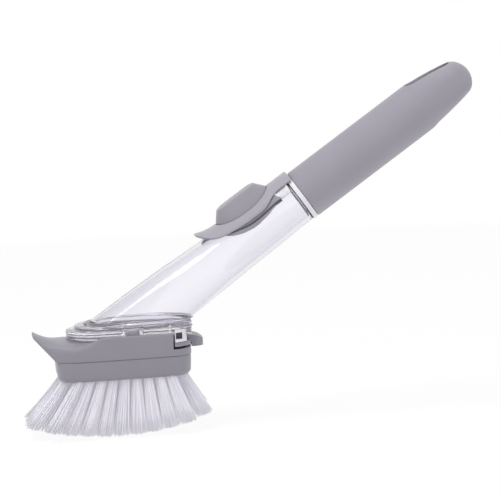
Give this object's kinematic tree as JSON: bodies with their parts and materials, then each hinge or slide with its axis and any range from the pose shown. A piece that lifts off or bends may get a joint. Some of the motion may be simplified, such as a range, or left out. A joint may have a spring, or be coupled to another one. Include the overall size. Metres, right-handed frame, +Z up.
{
  "type": "dish wand",
  "caption": "Soap-dispensing dish brush: clear reservoir with a thumb pump, screw-on grip handle with a hanging slot, and a clip-on tufted head with a scraper.",
  "frame": {"origin": "middle of the trimmed bristle tips, which lie in the plane z = 0", "axes": "+X runs from the scraper to the handle, +Y is to the left of the brush seen from its handle's front, +Z is up from the bristles to the handle"},
  "size_m": [0.2671, 0.0668, 0.1984],
  "materials": {
    "clear_plastic": "clear, polished",
    "clear_foot": "clear, lightly frosted",
    "silicone": "satin, translucent white",
    "gasket_rubber": "satin grey",
    "soft_grip": "soft satin grey",
    "button_plastic": "satin grey",
    "bezel_plastic": "satin grey",
    "core_plastic": "satin light grey",
    "head_plastic": "satin grey",
    "tab_plastic": "satin grey",
    "nylon": "translucent white filaments",
    "anchor_metal": "drawn wire strip"
  },
  "bodies": {
    "reservoir": {"reservoir_tube": "clear_plastic", "reservoir_foot": "clear_foot", "outlet_valve": "silicone", "valve_retainer": "core_plastic", "pump_diaphragm": "gasket_rubber", "pump_bezel": "bezel_plastic"},
    "button": {"push_button": "button_plastic"},
    "seal": {"neck_seal": "gasket_rubber"},
    "handle": {"handle_socket": "core_plastic", "handle_core": "core_plastic", "handle_grip": "soft_grip"},
    "head": {"head_carrier": "head_plastic", "brush_block": "head_plastic", "tuft_row_1": "nylon", "tuft_row_2": "nylon", "tuft_row_3": "nylon", "tuft_row_4": "nylon", "tuft_row_5": "nylon", "tuft_row_6": "nylon", "tuft_row_7": "nylon", "tuft_anchors": "anchor_metal"},
    "tab": {"release_tab": "tab_plastic"}
  },
  "joints": [
    {"name": "button_press", "type": "slide", "parent": "reservoir", "child": "button", "axis": [0.5548, 0, -0.832], "range_m": [0, 0.0025], "stiffness_N_per_m": 800, "springref_m": -0.001, "deforming": ["pump_diaphragm"]},
    {"name": "neck_travel", "type": "slide", "parent": "reservoir", "child": "seal", "axis": [0.832, 0, 0.5548], "range_m": [0, 0.01201]},
    {"name": "handle_unscrew", "type": "hinge", "parent": "seal", "child": "handle", "pos_m": [0.1126, 0, 0.1274], "axis": [0.832, 0, 0.5548], "range_deg": [0, 1080]},
    {"name": "head_slide", "type": "slide", "parent": "reservoir", "child": "head", "axis": [-1, 0, 0], "range_m": [0, 0.08], "deforming": ["release_tab"]},
    {"name": "tab_press", "type": "hinge", "parent": "head", "child": "tab", "pos_m": [0.0298, 0, 0.0497], "axis": [0, 1, 0], "range_deg": [0, 5], "stiffness_Nm_per_rad": 0.8, "springref_deg": -2.86}
  ],
  "couplings": [
    {"joint": "neck_travel", "follows": "handle_unscrew", "m_per_rad": 0.00063662}
  ]
}
